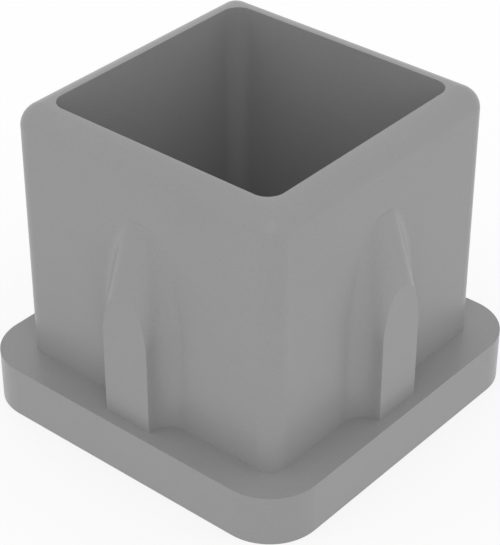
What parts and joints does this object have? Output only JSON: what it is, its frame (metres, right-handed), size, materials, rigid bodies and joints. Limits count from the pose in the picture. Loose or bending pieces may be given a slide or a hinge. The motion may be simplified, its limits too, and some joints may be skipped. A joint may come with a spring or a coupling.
{
  "type": "square tube end cap",
  "caption": "Push-in end cap for a square tube: flat flange with rounded corners and a hollow square plug with a tapered press rib on each side.",
  "frame": {"origin": "middle of the flange's outer face, the lowest point of the cap as it stands", "axes": "+Z along the plug, from the flange into the tube; X and Y square to the sides"},
  "size_m": [0.03, 0.03, 0.0255],
  "materials": {
    "end_cap": "mid grey moulded plastic, fine satin texture"
  },
  "bodies": {
    "root": {"end_cap": "end_cap"}
  },
  "joints": []
}
